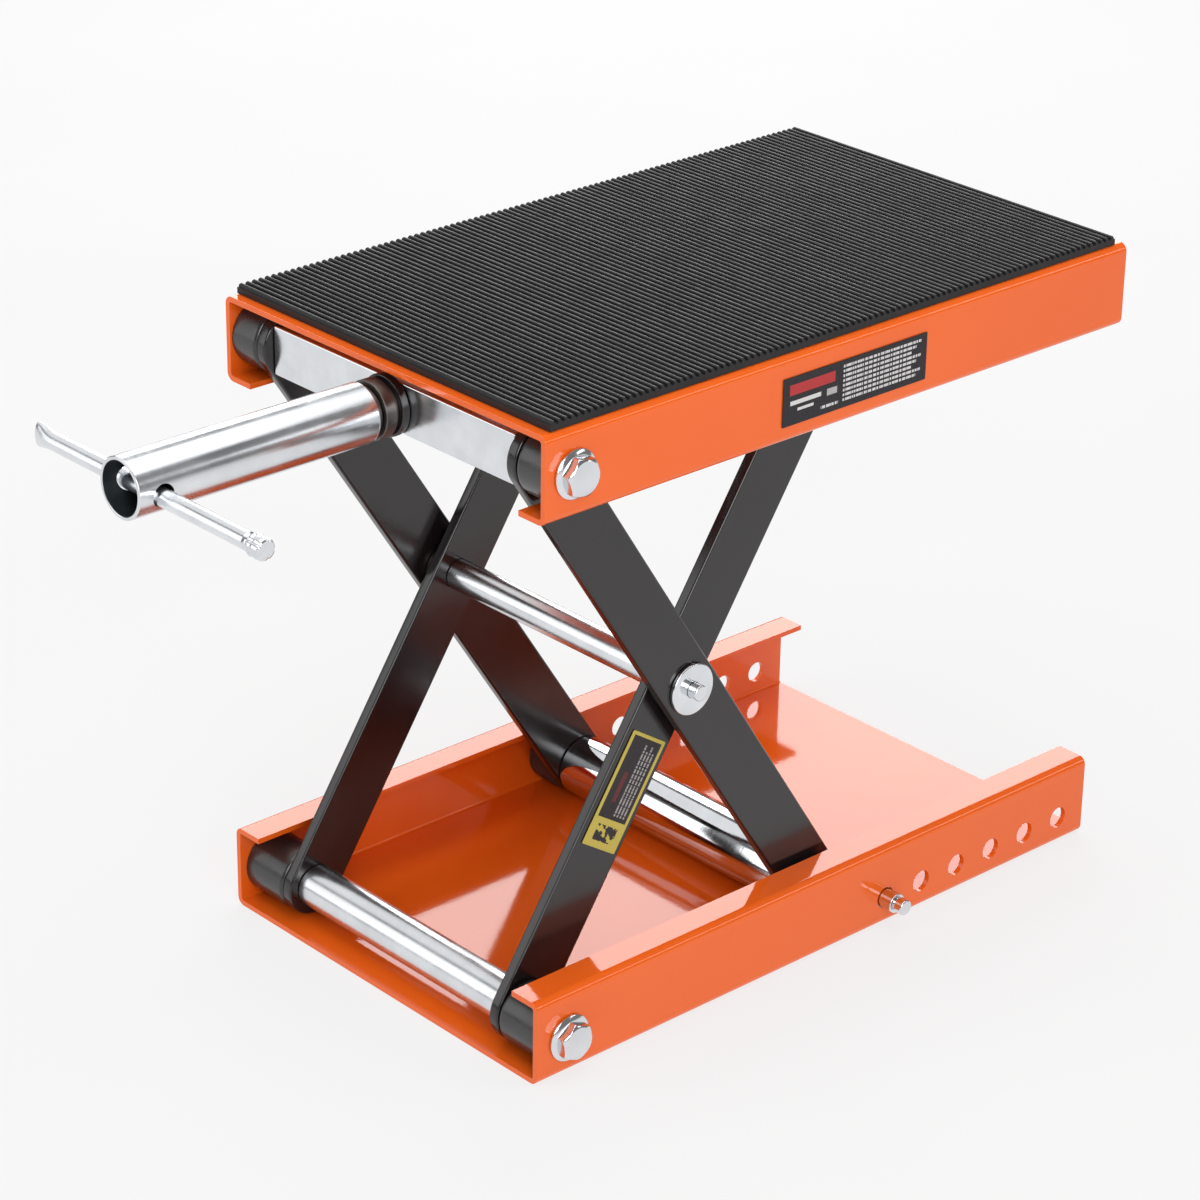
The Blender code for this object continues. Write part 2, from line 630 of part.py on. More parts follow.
def tommy_bar_mesh():
    """A round bar with its left end hammered into an upright fan, and an upset head at the right."""
    bar = TOMMY_RADIUS
    left, right = TOMMY_LEFT_X, TOMMY_RIGHT_X
    # Each section is a place along X, half the depth in Y and half the height in Z
    sections = [
        (left, 0.0026, 0.0056), (left + EDGE_BREAK, 0.0032, 0.0064),
        (left + 0.0035, 0.0036, 0.0060), (left + 0.0080, 0.0042, 0.0050), (left + 0.0130, bar, bar),
        (right - 0.0125, bar, bar), (right - 0.0118, 0.0038, 0.0038),
        (right - 0.0098, 0.0038, 0.0038), (right - 0.0090, 0.0052, 0.0052),
        (right - 0.0055, 0.0057, 0.0057), (right - EDGE_BREAK, 0.0055, 0.0055),
        (right, 0.0046, 0.0046),
    ]
    bm = bmesh.new()
    rings = []
    for x, depth, height in sections:
        ring = []
        for step in range(TOMMY_FACETS):
            angle = 2 * math.pi * step / TOMMY_FACETS
            ring.append(bm.verts.new((x, depth * math.cos(angle), height * math.sin(angle))))
        rings.append(ring)
    for one, other in zip(rings, rings[1:]):
        for step in range(TOMMY_FACETS):
            after = (step + 1) % TOMMY_FACETS
            bm.faces.new((one[step], one[after], other[after], other[step]))
    bm.faces.new(rings[0])
    bm.faces.new(rings[-1])
    return finished_mesh("tommy_bar", bm)


def add_lock_pin(zinc, joint):
    """A short pin in the right wall's first lock hole, drawn back clear of the roller's track.

    A groove near its outer end leaves a narrower tip for fingers to pull.
    """
    inner = BASE_WIDTH / 2 - SHEET + GAP
    shank = BASE_WIDTH / 2 + LOCK_PIN_SHANK
    outer = BASE_WIDTH / 2 + LOCK_PIN_END
    groove, groove_width = LOCK_PIN_GROOVE
    tip = shank + groove_width
    profile = [
        (inner, 0), (inner, LOCK_PIN_RADIUS - EDGE_BREAK), (inner + EDGE_BREAK, LOCK_PIN_RADIUS),
        (shank, LOCK_PIN_RADIUS), (shank, groove), (tip, groove), (tip, LOCK_PIN_TIP_RADIUS),
        (outer - EDGE_BREAK, LOCK_PIN_TIP_RADIUS), (outer, LOCK_PIN_TIP_RADIUS - EDGE_BREAK),
        (outer, 0),
    ]
    mesh = turned_mesh("lock_pin", profile)
    add_object("lock_pin", mesh, zinc, (0, LOCK_HOLE_Y, LOCK_HOLE_Z), joint=joint)


def add_plates(printed, deck_joint, inner_joint):
    """A plain rating plate on the deck's right wall and a plain notice on the right inner arm."""
    mesh = box_mesh("deck_plate", (PLATE_THICKNESS, DECK_PLATE_LENGTH, DECK_PLATE_HEIGHT))
    x = DECK_WIDTH / 2 + GAP + PLATE_THICKNESS / 2
    place = (x, DECK_PLATE_Y, DECK_PLATE_Z)
    add_object("deck_plate", mesh, printed, place, joint=deck_joint, smooth=False)

    mesh = box_mesh("arm_plate", (PLATE_THICKNESS, ARM_PLATE_LENGTH, ARM_PLATE_WIDTH))
    x = INNER_ARM_X + ARM_THICKNESS + GAP + PLATE_THICKNESS / 2
    y = PIVOT_Y + ARM_PLATE_ALONG * math.cos(LIFT_ANGLE)
    z = LOW_Z + ARM_PLATE_ALONG * math.sin(LIFT_ANGLE)
    add_object("arm_plate", mesh, printed, (x, y, z), (LIFT_ANGLE, 0, 0), inner_joint, smooth=False)


def build():
    """Make every piece, each moving one under an empty on its joint's axis."""
    start_empty()
    materials = make_materials()
    zinc = materials["bright_zinc"]
    inner = joint_axis("scissor_lift_axis", (0, PIVOT_Y, LOW_Z))
    outer = joint_axis("arm_crossing_axis", (0, CENTRE_Y, CENTRE_Z))
    deck = joint_axis("deck_pivot_axis", (0, PIVOT_Y, HIGH_Z))
    nut = joint_axis("nut_shaft_axis", (0, ROLLER_Y, HIGH_Z))
    crank = joint_axis("crank_axis", (0, CRANK_FRONT_Y, HIGH_Z))
    tommy = joint_axis("tommy_bar_axis", (0, TOMMY_Y, HIGH_Z - TOMMY_DROP))
    pin = joint_axis("lock_pin_axis", (BASE_WIDTH / 2, LOCK_HOLE_Y, LOCK_HOLE_Z))
    lower = [joint_axis(f"lower_roller_axis_{k}", (0, ROLLER_Y, LOW_Z)) for k in (1, 2)]
    upper = [joint_axis(f"upper_roller_axis_{k}", (0, ROLLER_Y, HIGH_Z)) for k in (1, 2)]

    add_base(materials)
    add_deck(materials, deck)
    add_arms(materials, inner, outer)
    add_base_pivot(materials, inner)
    add_centre_pivot(materials, inner)
    add_lower_rollers(materials, outer, lower)
    add_nut_shaft(materials, nut, upper)
    add_deck_pivot(materials, deck)
    add_screw(materials, deck, crank)
    place = (0, TOMMY_Y, HIGH_Z - TOMMY_DROP)
    add_object("tommy_bar", tommy_bar_mesh(), zinc, place, joint=tommy)
    add_lock_pin(zinc, pin)
    add_plates(materials["printed_plate"], deck, inner)


build()
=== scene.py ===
"""Screw-driven scissor jack: fine surfaces, materials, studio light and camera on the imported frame.

Metres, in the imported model's own frame: +X right, +Y rear, +Z up.
"""
import json
import math

import bmesh
import bpy
from mathutils import Matrix, Vector


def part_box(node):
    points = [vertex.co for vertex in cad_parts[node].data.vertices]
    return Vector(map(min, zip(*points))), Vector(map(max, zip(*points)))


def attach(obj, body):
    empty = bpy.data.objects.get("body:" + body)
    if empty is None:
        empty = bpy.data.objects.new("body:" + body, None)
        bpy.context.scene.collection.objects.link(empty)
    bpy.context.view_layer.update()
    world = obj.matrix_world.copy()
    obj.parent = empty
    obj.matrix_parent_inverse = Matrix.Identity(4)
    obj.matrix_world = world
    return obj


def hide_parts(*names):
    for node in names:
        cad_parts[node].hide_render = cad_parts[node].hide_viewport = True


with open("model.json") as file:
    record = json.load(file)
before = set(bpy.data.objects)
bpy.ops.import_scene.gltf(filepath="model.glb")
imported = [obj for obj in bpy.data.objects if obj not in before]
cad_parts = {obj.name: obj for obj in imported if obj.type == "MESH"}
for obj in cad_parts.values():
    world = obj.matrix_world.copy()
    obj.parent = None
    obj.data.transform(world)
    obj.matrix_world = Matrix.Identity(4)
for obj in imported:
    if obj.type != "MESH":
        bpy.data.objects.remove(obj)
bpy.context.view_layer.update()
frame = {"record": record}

RECORD = frame["record"]
BODY_OF = {node: body for body, nodes in RECORD["behaviour"]["bodies"].items() for node in nodes}
SLOT_OF = {entry["node"]: entry["material_slot"] for entry in RECORD["subparts"]}
SIDES = ("left", "right")

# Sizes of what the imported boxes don't give. GAP is the play between pieces that meet.
GAP = 0.0003
SHEET = 0.003
BEND_RADIUS = 0.0045
BASE_LIP = 0.019
DECK_LIP = 0.0185
BORE_RADIUS = 0.0064
PIN_RADIUS = 0.006
SCREW_BORE = 0.0084
THREAD_PITCH = 0.004
THREAD_DEPTH = 0.0018
HEX_ACROSS_FLATS = 0.018
LOCK_HOLE_RADIUS = 0.0060
LOCK_HOLE_PITCH = 0.0271
LOCK_HOLE_COUNT = 6
CRANK_WALL = 0.002
CRANK_PLUG = 0.020
TOMMY_HOLE_RADIUS = 0.0058
TOMMY_HOLE_DROP = 0.0022
TOMMY_RADIUS = 0.0045
STUD_RADIUS = 0.0042
WASHER_LIP = 0.0007
# Radius, then length along the piece
BEARING_NECK = (0.0128, 0.0022)
LOCK_PIN_GROOVE = (0.0031, 0.0014)
LOCK_PIN_TIP = (0.0043, 0.0051)
# Facets around a turned piece
ROUND = 96
# The round pieces at the front and rear end of each kind of arm
ARM_ENDS = {
    "inner_arm": ("base_pivot_tube", "nut_shaft"),
    "outer_arm": ("front_crossbar", "lower_shaft"),
}

ZINC_COLOUR = (0.78, 0.80, 0.83)
# Noise scales that draw lines along the axis of a piece whose axis is X
DRAWN_LINES = (14, 700, 700)


# ---------------------------------------------------------------- materials

class Nodes:
    """A short way to write a material's nodes."""

    def __init__(self, name):
        self.material = bpy.data.materials.new(name)
        self.material.use_nodes = True
        self.tree = self.material.node_tree
        self.shader = self.tree.nodes["Principled BSDF"]

    def add(self, kind, **settings):
        node = self.tree.nodes.new(kind)
        for key, value in settings.items():
            setattr(node, key, value)
        return node

    def link(self, source, target):
        self.tree.links.new(source, target)

    def feed(self, socket, value):
        if isinstance(value, bpy.types.NodeSocket):
            self.link(value, socket)
        else:
            socket.default_value = value

    def coordinates(self, scale):
        """Coordinates that stay with the piece as it moves."""
        source = self.add("ShaderNodeTexCoord")
        mapping = self.add("ShaderNodeMapping")
        mapping.inputs["Scale"].default_value = scale
        self.link(source.outputs["Object"], mapping.inputs["Vector"])
        return mapping.outputs["Vector"]

    def own_axes(self):
        """The piece's own coordinates, as the sockets X, Y and Z."""
        source = self.add("ShaderNodeTexCoord")
        parts = self.add("ShaderNodeSeparateXYZ")
        self.link(source.outputs["Object"], parts.inputs[0])
        return parts.outputs

    def noise(self, scale, detail, roughness=0.5, stretch=(1, 1, 1)):
        node = self.add("ShaderNodeTexNoise")
        self.link(self.coordinates(stretch), node.inputs["Vector"])
        node.inputs["Scale"].default_value = scale
        node.inputs["Detail"].default_value = detail
        node.inputs["Roughness"].default_value = roughness
        return node.outputs["Fac"]

    def math(self, operation, a, b):
        node = self.add("ShaderNodeMath", operation=operation)
        self.feed(node.inputs[0], a)
        self.feed(node.inputs[1], b)
        return node.outputs[0]

    def spread(self, value, low, high, from_low=0.3, from_high=0.7):
        """Map a noise value onto a range."""
        node = self.add("ShaderNodeMapRange")
        self.feed(node.inputs["Value"], value)
        node.inputs["From Min"].default_value = from_low
        node.inputs["From Max"].default_value = from_high
        node.inputs["To Min"].default_value = low
        node.inputs["To Max"].default_value = high
        return node.outputs["Result"]

    def mix(self, factor, one, other):
        node = self.add("ShaderNodeMix", data_type="RGBA")
        self.feed(node.inputs[0], factor)
        for socket, value in ((node.inputs[6], one), (node.inputs[7], other)):
            if isinstance(value, bpy.types.NodeSocket):
                self.link(value, socket)
            else:
                socket.default_value = (*value, 1)
        return node.outputs[2]

    def bump(self, height, strength, distance, after=None):
        node = self.add("ShaderNodeBump")
        node.inputs["Strength"].default_value = strength
        node.inputs["Distance"].default_value = distance
        self.link(height, node.inputs["Height"])
        if after is not None:
            self.link(after, node.inputs["Normal"])
        return node.outputs["Normal"]

    def finish(self, colour, metallic=0.0, roughness=0.5, normal=None, **plain):
        if isinstance(colour, bpy.types.NodeSocket):
            self.link(colour, self.shader.inputs["Base Color"])
        else:
            self.shader.inputs["Base Color"].default_value = (*colour, 1)
        self.shader.inputs["Metallic"].default_value = metallic
        self.feed(self.shader.inputs["Roughness"], roughness)
        if normal is not None:
            self.link(normal, self.shader.inputs["Normal"])
        for key, value in plain.items():
            self.shader.inputs[key.replace("_", " ")].default_value = value
        return self.material


def orange_paint():
    """Glossy powder coat: an even orange under a clear, slightly rippled gloss."""
    m = Nodes("orange_powder_coat_fine")
    tone = m.spread(m.noise(9, 4), 0.0, 1.0)
    colour = m.mix(tone, (0.80, 0.116, 0.008), (0.84, 0.128, 0.010))
    speckle = m.spread(m.noise(2600, 1), 0.0, 0.10, 0.62, 0.80)
    colour = m.mix(speckle, colour, (0.60, 0.080, 0.008))
    peel = m.noise(420, 2, 0.45)
    m.link(m.bump(peel, 0.05, 0.0004), m.shader.inputs["Coat Normal"])
    normal = m.bump(peel, 0.08, 0.0006)
    roughness = m.spread(m.noise(35, 3), 0.32, 0.40)
    return m.finish(
        colour, 0.0, roughness, normal,
        Specular_IOR_Level=0.0, Coat_Weight=1.0, Coat_Roughness=0.07, Coat_IOR=1.5,
    )


def black_paint():
    """Satin black powder coat with a fine grain."""
    m = Nodes("black_powder_coat_fine")
    tone = m.spread(m.noise(14, 4), 0.0, 1.0)
    colour = m.mix(tone, (0.0085, 0.0060, 0.0068), (0.0115, 0.0085, 0.0092))
    grain = m.noise(1500, 3, 0.6)
    normal = m.bump(grain, 0.06, 0.0003)
    roughness = m.spread(m.noise(60, 3), 0.15, 0.21)
    return m.finish(colour, 0.0, roughness, normal, Specular_IOR_Level=0.62)


def black_sleeve():
    """Black finish on the spacer sleeves, a little greyer and with a broader sheen."""
    m = Nodes("black_sleeve_fine")
    tone = m.spread(m.noise(40, 4), 0.0, 1.0)
    colour = m.mix(tone, (0.0140, 0.0130, 0.0140), (0.0200, 0.0185, 0.0195))
    lines = m.noise(1.0, 3, 0.6, (2200, 20, 20))
    normal = m.bump(lines, 0.06, 0.0003)
    roughness = m.spread(m.noise(90, 3), 0.22, 0.30)
    return m.finish(colour, 0.0, roughness, normal, Specular_IOR_Level=0.75)


def zinc_nodes(name, along, rough, line):
    """The colour, roughness and normal of bright zinc plate, with faint lines in one direction."""
    m = Nodes(name)
    cloud = m.noise(55, 4, 0.55)
    tone = m.spread(cloud, 0.0, 1.0)
    dull = tuple(c * 0.86 for c in ZINC_COLOUR)
    base = m.mix(tone, dull, ZINC_COLOUR)
    lines = m.noise(1.0, 4, 0.6, along)
    normal = m.bump(lines, line, 0.0003)
    fine = m.noise(900, 2)
    normal = m.bump(fine, 0.05, 0.0002, normal)
    roughness = m.math("ADD", m.spread(cloud, rough[0], rough[1]), m.spread(lines, -0.03, 0.03))
    return m, base, roughness, normal


def zinc(name, along, rough=(0.11, 0.20), line=0.08):
    """Bright zinc plate over turned or drawn steel."""
    m, base, roughness, normal = zinc_nodes(name, along, rough, line)
    return m.finish(base, 1.0, roughness, normal)


def crank_zinc_painted_bore_shade(inside):
    """Drawn zinc plate outside the tube, and painted shade within its bore, of the given radius: a
    dark grey colour with a high roughness that stands in for the shade inside the tube.
    """
    m, base, roughness, normal = zinc_nodes("bright_zinc_crank_painted_bore_shade", DRAWN_LINES, (0.20, 0.27), 0.05)
    axes = m.own_axes()
    y, z = axes["Y"], axes["Z"]
    square = m.math("ADD", m.math("MULTIPLY", y, y), m.math("MULTIPLY", z, z))
    margin = 0.0002
    # Painted shade: within the bore the colour is a dark grey with a high roughness, standing in for
    # the shade inside the tube's hollow
    bore = m.math("LESS_THAN", square, (inside + margin) ** 2)
    base = m.mix(bore, base, (0.055, 0.065, 0.072))
    roughness = m.mix(bore, roughness, (0.55, 0.55, 0.55))
    return m.finish(base, 1.0, roughness, normal)


def dark_steel():
    """Oiled, blackened steel with turning marks."""
    m = Nodes("dark_steel_fine")
    tone = m.spread(m.noise(80, 4), 0.0, 1.0)
    colour = m.mix(tone, (0.11, 0.10, 0.095), (0.20, 0.18, 0.165))
    lines = m.noise(1.0, 3, 0.6, (3000, 30, 30))
    normal = m.bump(lines, 0.12, 0.0003)
    return m.finish(colour, 1.0, m.spread(m.noise(120, 3), 0.32, 0.48), normal)


def rubber():
    """Moulded rubber with a slight polish and a faint bloom."""
    m = Nodes("black_rubber_fine")
    tone = m.spread(m.noise(30, 5, 0.6), 0.0, 1.0)
    colour = m.mix(tone, (0.0080, 0.0076, 0.0080), (0.0120, 0.0112, 0.0120))
    bloom = m.spread(m.noise(700, 3), 0.0, 0.08, 0.60, 0.85)
    colour = m.mix(bloom, colour, (0.045, 0.043, 0.043))
    normal = m.bump(m.noise(1800, 3, 0.6), 0.12, 0.0004)
    return m.finish(colour, 0.0, m.spread(m.noise(90, 3), 0.44, 0.54), normal, Specular_IOR_Level=0.36)


def nylon():
    """Moulded black nylon."""
    m = Nodes("black_nylon_fine")
    tone = m.spread(m.noise(40, 4), 0.0, 1.0)
    colour = m.mix(tone, (0.030, 0.030, 0.032), (0.050, 0.050, 0.054))
    normal = m.bump(m.noise(1200, 3), 0.12, 0.0003)
    return m.finish(colour, 0.0, m.spread(m.noise(150, 2), 0.36, 0.5), normal)


class Print(Nodes):
    """A printed plate. Its print is plain shapes on the plate's own Y (length) and Z (height)."""

    def __init__(self, name, length, height, ground):
        super().__init__(name)
        axes = self.own_axes()
        self.across = self.math("DIVIDE", axes["Y"], length)
        self.up = self.math("DIVIDE", axes["Z"], height)
        self.colour = ground

    def within(self, value, low, high):
        above = self.math("GREATER_THAN", value, low)
        below = self.math("LESS_THAN", value, high)
        return self.math("MULTIPLY", above, below)

    def block(self, left, right, bottom, top, colour, keep=None):
        """Print a rectangle. The places are fractions of the plate, from -0.5 to 0.5."""
        mask = self.math(
            "MULTIPLY", self.within(self.across, left, right), self.within(self.up, bottom, top)
        )
        if keep is not None:
            mask = self.math("MULTIPLY", mask, keep)
        self.colour = self.mix(mask, self.colour, colour)

    def done(self):
        wear = self.spread(self.noise(900, 3), 0.0, 0.05)
        colour = self.mix(wear, self.colour, (0.25, 0.25, 0.25))
        normal = self.bump(self.noise(500, 2), 0.06, 0.0003)
        roughness = self.spread(self.noise(60, 2), 0.34, 0.42)
        return self.finish(colour, 0.0, roughness, normal, Specular_IOR_Level=0.22)


def deck_print(length, height):
    """A black rating plate with a red bar, two pale bars, and rows of dashes like small print."""
    m = Print("deck_plate_print", length, height, (0.015, 0.012, 0.015))
    pale = (0.62, 0.60, 0.60)
    m.block(-0.455, -0.145, 0.12, 0.34, (0.42, 0.028, 0.030))
    m.block(-0.45, -0.24, -0.09, 0.00, pale)
    m.block(-0.40, -0.29, -0.23, -0.17, pale)
    m.block(-0.20, -0.13, -0.13, 0.01, (0.40, 0.38, 0.38))
    dashes = m.math("GREATER_THAN", m.noise(1.0, 2, 0.6, (0, 1000, 0)), 0.46)
    m.block(-0.24, -0.12, -0.37, -0.31, pale, dashes)
    for row in range(8):
        bottom = 0.34 - 0.100 * row
        m.block(-0.09, 0.46 - 0.035 * (row % 3), bottom, bottom + 0.055, pale, dashes)
    return m.done()


def arm_print(length, height):
    """A black notice with a yellow border, a yellow end panel and rows of pale dashes."""
    yellow = (0.50, 0.40, 0.075)
    dark = (0.022, 0.016, 0.018)
    m = Print("arm_plate_print", length, height, yellow)
    m.block(-0.245, 0.470, -0.42, 0.42, dark)
    blots = m.math("GREATER_THAN", m.noise(260, 2, 0.5), 0.47)
    m.block(-0.440, -0.300, -0.30, 0.30, dark, blots)
    dashes = m.math("GREATER_THAN", m.noise(1.0, 2, 0.6, (0, 1100, 0)), 0.46)
    for row in range(4):
        top = 0.00 - 0.095 * row
        m.block(-0.21, 0.42 - 0.05 * (row % 2), top - 0.045, top, (0.34, 0.31, 0.31), dashes)
    m.block(-0.10, 0.16, 0.12, 0.24, (0.11, 0.018, 0.018))
    return m.done()


FINISHES = {
    "orange_powder_coat": orange_paint(),
    "black_powder_coat": black_paint(),
    "bright_zinc": zinc("bright_zinc_turned", (2600, 12, 12)),
    "dark_steel": dark_steel(),
    "black_rubber": rubber(),
    "black_nylon": nylon(),
}
BLACK_SLEEVE = black_sleeve()
DRAWN_ZINC = zinc("bright_zinc_drawn", DRAWN_LINES, rough=(0.21, 0.28), line=0.05)
FLAT_ZINC = zinc("bright_zinc_flat", (10, 900, 900), rough=(0.14, 0.24), line=0.08)
POLISHED_ZINC = zinc("bright_zinc_polished", (900, 12, 12), rough=(0.05, 0.09), line=0.03)


# ---------------------------------------------------------------- making pieces

def add_piece(node, mesh, material=None, matrix=None):
    """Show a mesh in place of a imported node, on the node's own body.

    Normals weighted by face area keep the flat faces flat where they meet a rounded edge.
    """
    mesh.shade_smooth()
    mesh.set_sharp_from_angle(angle=math.radians(34))
    mesh = evaluated(mesh, ("WEIGHTED_NORMAL", {"weight": 100, "keep_sharp": True}))
    mesh.materials.clear()
    mesh.materials.append(material or FINISHES[SLOT_OF[node]])
    piece = bpy.data.objects.new(node + "_fine", mesh)
    bpy.context.collection.objects.link(piece)
    if matrix is not None:
        piece.matrix_world = matrix
    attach(piece, BODY_OF[node])
    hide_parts(node)


def middle(node):
    low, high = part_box(node)
    return (Vector(low) + Vector(high)) / 2


def size(node):
    low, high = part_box(node)
    return Vector(high) - Vector(low)


def at(node):
    """The matrix that puts a mesh made about the origin at a node's middle."""
    return Matrix.Translation(middle(node))


def mesh_from(name, bm):
    bmesh.ops.recalc_face_normals(bm, faces=bm.faces)
    mesh = bpy.data.meshes.new(name)
    bm.to_mesh(mesh)
    bm.free()
    return mesh


def lathe(name, profile, segments=ROUND):
    """Turn (x, radius) points about X. A third value is a function of angle that gives the radius."""
    bm = bmesh.new()
    rings = []
    for x, radius, *shape in profile:
        if radius == 0:
            rings.append([bm.verts.new((x, 0, 0))])
            continue
        ring = []
        for step in range(segments):
            angle = 2 * math.pi * step / segments
            reach = shape[0](angle, radius) if shape else radius
            ring.append(bm.verts.new((x, reach * math.cos(angle), reach * math.sin(angle))))
        rings.append(ring)
    pairs = list(zip(rings, rings[1:]))
    if len(rings[0]) > 1:
        pairs.append((rings[-1], rings[0]))
    for one, other in pairs:
        for step in range(segments):
            after = (step + 1) % segments
            corners = [one[step % len(one)], one[after % len(one)]]
            corners += [other[after % len(other)], other[step % len(other)]]
            bm.faces.new(list(dict.fromkeys(corners)))
    return mesh_from(name, bm)


def round_corner(x, radius, fillet, towards, steps=4):
    """The points of a rounded outer corner at an end, where the profile turns towards the bore.

    towards is -1 at the low end (from the end face out to the side) and +1 at the high end.
    """
    points = []
    for step in range(steps + 1):
        angle = math.pi / 2 * step / steps
        if towards < 0:
            along, out = x + fillet * (1 - math.sin(angle)), radius - fillet * (1 - math.cos(angle))
            points.insert(0, (along, out))
        else:
            along, out = x - fillet * (1 - math.sin(angle)), radius - fillet * (1 - math.cos(angle))
            points.append((along, out))
    return points


def ring_mesh(name, start, end, radius, bore, fillet):
    """A tube, bush, spacer, washer or collar with rounded outer edges and a bore."""
    ease = min(0.0003, fillet)
    profile = [(start, bore + ease)] + round_corner(start, radius, fillet, -1)
    profile += round_corner(end, radius, fillet, 1) + [(end, bore + ease)]
    profile += [(end - ease, bore), (start + ease, bore)]
    return lathe(name, profile)


def ring_about_x(node, bore, fillet, material=None):
    """A ring-shaped piece whose axis runs along X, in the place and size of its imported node."""
    span = size(node)
    mesh = ring_mesh(node, -span.x / 2, span.x / 2, span.z / 2, bore, fillet)
    add_piece(node, mesh, material, at(node))


def along_y(centre):
    """Place a piece turned about its own X so that it runs along world Y."""
    return Matrix.Translation(centre) @ Matrix.Rotation(math.pi / 2, 4, "Z")


def ring_about_y(node, bore, fillet, material=None):
    """The same for a piece whose axis runs along Y."""
    span = size(node)
    mesh = ring_mesh(node, -span.y / 2, span.y / 2, span.z / 2, bore, fillet)
    add_piece(node, mesh, material, along_y(middle(node)))


def evaluated(mesh, *modifiers):
    """Apply modifiers, given as (type, {settings}), to a mesh and return the new mesh."""
    holder = bpy.data.objects.new("holder", mesh)
    bpy.context.collection.objects.link(holder)
    for kind, settings in modifiers:
        modifier = holder.modifiers.new(kind, kind)
        for key, value in settings.items():
            setattr(modifier, key, value)
    graph = bpy.context.evaluated_depsgraph_get()
    result = bpy.data.meshes.new_from_object(holder.evaluated_get(graph))
    bpy.data.objects.remove(holder)
    return result


def drilled(mesh, axis, places, radius, start, end, segments=48):
    """Cut parallel round holes, each at a (y, z) place for axis X or an (x, z) place for axis Y."""
    bm = bmesh.new()
    for across, height in places:
        rings = []
        for along in (start, end):
            ring = []
            for step in range(segments):
                angle = 2 * math.pi * (step + 0.5) / segments
                a = across + radius * math.cos(angle)
                b = height + radius * math.sin(angle)
                ring.append(bm.verts.new((along, a, b) if axis == "X" else (a, along, b)))
            rings.append(ring)
        for step in range(segments):
            after = (step + 1) % segments
            bm.faces.new((rings[0][step], rings[0][after], rings[1][after], rings[1][step]))
        for ring in rings:
            bm.faces.new(ring)
    cutter = bpy.data.objects.new("cutter", mesh_from("cutter", bm))
    bpy.context.collection.objects.link(cutter)
    result = evaluated(mesh, ("BOOLEAN", {"operation": "DIFFERENCE", "object": cutter}))
    bpy.data.objects.remove(cutter)
    return result


def eased(mesh, width, segments, angle=40):
    """Round the edges where the faces meet at more than an angle in degrees."""
    settings = {
        "width": width, "segments": segments, "limit_method": "ANGLE",
        "angle_limit": math.radians(angle), "harden_normals": False,
    }
    return evaluated(mesh, ("BEVEL", settings))


# ---------------------------------------------------------------- channels and mat

def channel_mesh(name, width, height, lip, low_y, high_y, steps=8):
    """A folded sheet channel, open at the top, with its underside at z = 0."""
    half = width / 2
    corner_x = half - BEND_RADIUS
    section = []
    for corner_z, first in ((BEND_RADIUS, -90), (height - BEND_RADIUS, 0)):
        for step in range(steps + 1):
            angle = math.radians(first + 90 * step / steps)
            pair = []
            for radius in (BEND_RADIUS, BEND_RADIUS - SHEET):
                x = corner_x + radius * math.cos(angle)
                pair.append((x, corner_z + radius * math.sin(angle)))
            section.append(pair)
    section.append([(half - lip, height), (half - lip, height - SHEET)])
    mirrored = [[(-x, z) for x, z in pair] for pair in reversed(section)]
    bm = bmesh.new()
    ends = []
    for y in (low_y, high_y):
        ends.append([[bm.verts.new((x, y, z)) for x, z in pair] for pair in mirrored + section])
    front, back = ends
    for here in range(len(front) - 1):
        there = here + 1
        for end in (front, back):
            bm.faces.new((end[here][0], end[there][0], end[there][1], end[here][1]))
        for face in (0, 1):
            bm.faces.new((front[here][face], front[there][face], back[there][face], back[here][face]))
    for tip in (0, -1):
        bm.faces.new((front[tip][0], front[tip][1], back[tip][1], back[tip][0]))
    return mesh_from(name, bm)


def make_base():
    low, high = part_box("base_channel")
    width, height = high[0] - low[0], high[2] - low[2]
    mesh = channel_mesh("base_channel", width, height, BASE_LIP, low[1], high[1])
    first = middle("lock_pin")
    holes = [(first.y + k * LOCK_HOLE_PITCH, first.z) for k in range(LOCK_HOLE_COUNT)]
    mesh = drilled(mesh, "X", holes, LOCK_HOLE_RADIUS, low[0] - SHEET, high[0] + SHEET)
    pivot = middle("base_pivot_bolt_right")
    mesh = drilled(mesh, "X", [(pivot.y, pivot.z)], BORE_RADIUS, low[0] - SHEET, high[0] + SHEET)
    mesh = eased(mesh, 0.0006, 2, 50)
    add_piece("base_channel", mesh)


def make_deck():
    low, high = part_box("platform_channel")
    width, height = high[0] - low[0], high[2] - low[2]
    mesh = channel_mesh("platform_channel", width, height, DECK_LIP, low[1], high[1])
    mesh.transform(Matrix.Translation((0, 0, high[2])) @ Matrix.Diagonal((-1, 1, -1, 1)))
    pivot = middle("platform_pivot_bolt_right")
    mesh = drilled(mesh, "X", [(pivot.y, pivot.z)], BORE_RADIUS, low[0] - SHEET, high[0] + SHEET)
    mesh = eased(mesh, 0.0006, 2, 50)
    add_piece("platform_channel", mesh)


